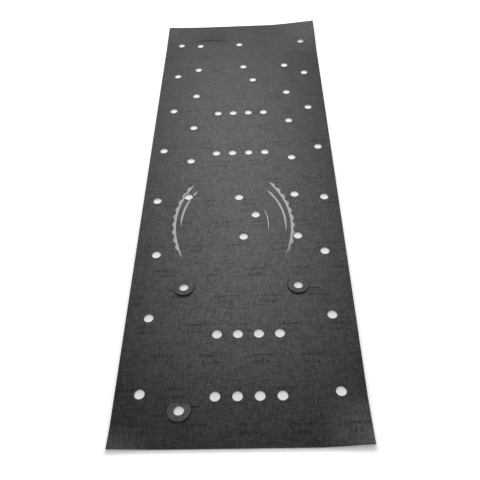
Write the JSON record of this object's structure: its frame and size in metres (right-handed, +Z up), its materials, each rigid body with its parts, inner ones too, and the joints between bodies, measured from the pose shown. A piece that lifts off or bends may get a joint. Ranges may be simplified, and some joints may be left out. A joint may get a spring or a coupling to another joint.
{
  "type": "practice putting mat",
  "caption": "Long thin rectangular mat of dark rubber with a woven face, punched with round holes, with hinged round flaps and light toothed arcs, corners slightly turned up.",
  "frame": {"origin": "bottom centre of the mat, on the surface it lies on", "axes": "+Y along the mat to its far end, +X to its right, +Z up out of the woven face"},
  "size_m": [0.28, 0.84, 0.01],
  "materials": {
    "base_rubber": "matt",
    "face_weave": "fine dull weave",
    "light_film": "satin"
  },
  "bodies": {
    "mat": {"base_sheet": "base_rubber", "face_sheet": "face_weave", "left_toothed_arc": "light_film", "right_toothed_arc": "light_film", "left_inner_arc_upper": "light_film", "left_inner_arc_lower": "light_film", "right_inner_arc": "light_film", "short_arc": "light_film"},
    "left_flap": {"left_flap_base": "base_rubber", "left_flap_face": "face_weave"},
    "right_flap": {"right_flap_base": "base_rubber", "right_flap_face": "face_weave"},
    "front_flap": {"front_flap_base": "base_rubber", "front_flap_face": "face_weave"}
  },
  "joints": [
    {"name": "left_flap_hinge", "type": "hinge", "parent": "mat", "child": "left_flap", "pos_m": [-0.0715, -0.20301, 0.003], "axis": [-1, 0, 0], "range_deg": [-7, 90], "stiffness_Nm_per_rad": 0.01},
    {"name": "right_flap_hinge", "type": "hinge", "parent": "mat", "child": "right_flap", "pos_m": [0.0735, -0.20301, 0.003], "axis": [-1, 0, 0], "range_deg": [-7, 90], "stiffness_Nm_per_rad": 0.01},
    {"name": "front_flap_hinge", "type": "hinge", "parent": "mat", "child": "front_flap", "pos_m": [-0.0665, -0.369, 0.003], "axis": [-1, 0, 0], "range_deg": [-7, 90], "stiffness_Nm_per_rad": 0.01}
  ]
}
